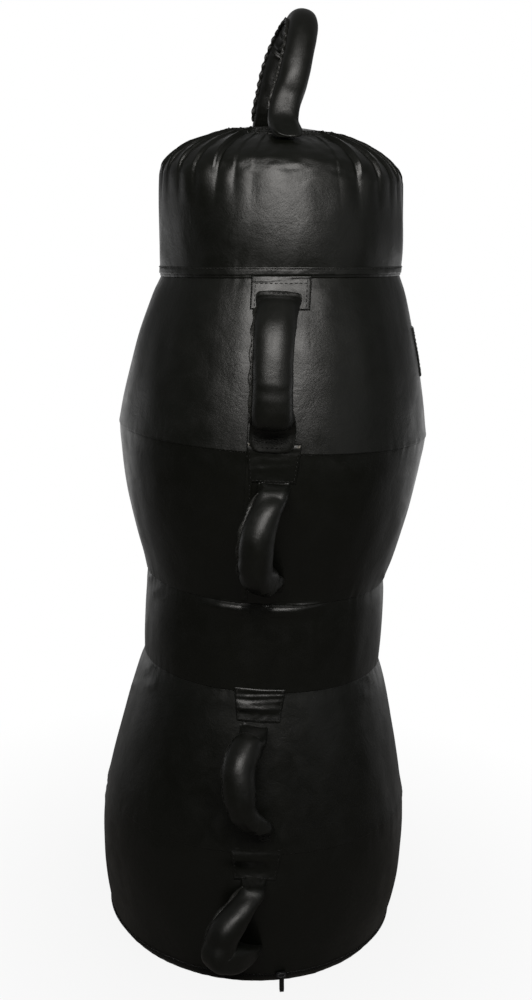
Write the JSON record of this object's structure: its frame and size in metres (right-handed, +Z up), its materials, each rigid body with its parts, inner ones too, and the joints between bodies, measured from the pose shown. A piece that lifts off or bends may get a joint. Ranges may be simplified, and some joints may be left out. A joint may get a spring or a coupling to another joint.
{
  "type": "standing grappling bag",
  "caption": "Tall sewn training bag, waisted like a torso, standing on a flat round base, with padded grips down its front and a padded loop on its gathered crown.",
  "frame": {"origin": "centre of the round base, on the floor", "axes": "+Z up along the bag's axis, -Y towards the side with the four grips, +X to the right of someone who faces them"},
  "size_m": [0.4277, 0.4944, 1.2376],
  "materials": {
    "cover": "satin",
    "webbing": "matte",
    "zip_tape": "matte",
    "zip_metal": "satin",
    "pull_strip": "matte",
    "textile": "matte",
    "canvas": "matte",
    "sand": "matte",
    "cord": "matte"
  },
  "bodies": {
    "bag": {"base_panel": "cover", "chest_lower_grip_lower_root": "cover", "chest_lower_grip_upper_root": "cover", "chest_lower_panel": "cover", "chest_lower_patch": "cover", "chest_upper_grip_lower_root": "cover", "chest_upper_grip_upper_root": "cover", "chest_upper_panel": "cover", "chest_upper_patch": "cover", "crown_patch": "cover", "head_panel": "cover", "head_seam_band": "cover", "hip_lower_grip_lower_root": "cover", "hip_lower_grip_upper_root": "cover", "hip_lower_panel": "cover", "hip_lower_patch": "cover", "hip_upper_grip_lower_root": "cover", "hip_upper_grip_upper_root": "cover", "hip_upper_panel": "cover", "hip_upper_patch": "cover", "loop_back_root": "cover", "loop_front_root": "cover", "sand_fill": "sand", "sand_sleeve": "canvas", "side_patch": "cover", "sleeve_tie": "cord", "textile_filling": "textile", "waist_panel": "cover", "zip_tape": "zip_tape"},
    "chest_upper_grip": {"chest_upper_grip_sleeve": "cover", "chest_upper_grip_strap": "webbing"},
    "chest_lower_grip": {"chest_lower_grip_sleeve": "cover", "chest_lower_grip_strap": "webbing"},
    "hip_upper_grip": {"hip_upper_grip_sleeve": "cover", "hip_upper_grip_strap": "webbing"},
    "hip_lower_grip": {"hip_lower_grip_sleeve": "cover", "hip_lower_grip_strap": "webbing"},
    "loop": {"loop_sleeve": "cover", "loop_strap": "webbing"},
    "zip_slider": {"zip_slider": "zip_metal"},
    "zip_pull": {"zip_pull": "pull_strip"}
  },
  "joints": [
    {"name": "chest_upper_grip_swing", "type": "hinge", "parent": "bag", "child": "chest_upper_grip", "pos_m": [0, -0.21599, 0.75704], "axis": [-0.0235, 0.2418, 0.97], "range_deg": [-62, 68]},
    {"name": "chest_lower_grip_swing", "type": "hinge", "parent": "bag", "child": "chest_lower_grip", "pos_m": [0.01245, -0.19258, 0.55603], "axis": [-0.0507, -0.206, 0.9772], "range_deg": [-27, 103]},
    {"name": "hip_upper_grip_swing", "type": "hinge", "parent": "bag", "child": "hip_upper_grip", "pos_m": [0.01005, -0.22129, 0.24103], "axis": [-0.0474, 0.2306, 0.9719], "range_deg": [-25, 99]},
    {"name": "hip_lower_grip_swing", "type": "hinge", "parent": "bag", "child": "hip_lower_grip", "pos_m": [0.00954, -0.22772, 0.07404], "axis": [0.0588, -0.0421, 0.9974], "range_deg": [-8, 108]},
    {"name": "loop_tilt", "type": "hinge", "parent": "bag", "child": "loop", "pos_m": [-0.00409, -0.06186, 1.10797], "axis": [-0.1426, 0.9898, -0.0042], "range_deg": [-74, 56], "stiffness_Nm_per_rad": 1.2},
    {"name": "zip_slider_travel", "type": "hinge", "parent": "bag", "child": "zip_slider", "pos_m": [0, 0, 0.02], "axis": [0, 0, 1], "range_deg": [0, 200]},
    {"name": "zip_pull_pivot", "type": "hinge", "parent": "zip_slider", "child": "zip_pull", "pos_m": [0.04701, -0.20361, 0.02], "axis": [0.9744, 0.225, 0], "range_deg": [-114.4, 0]}
  ]
}
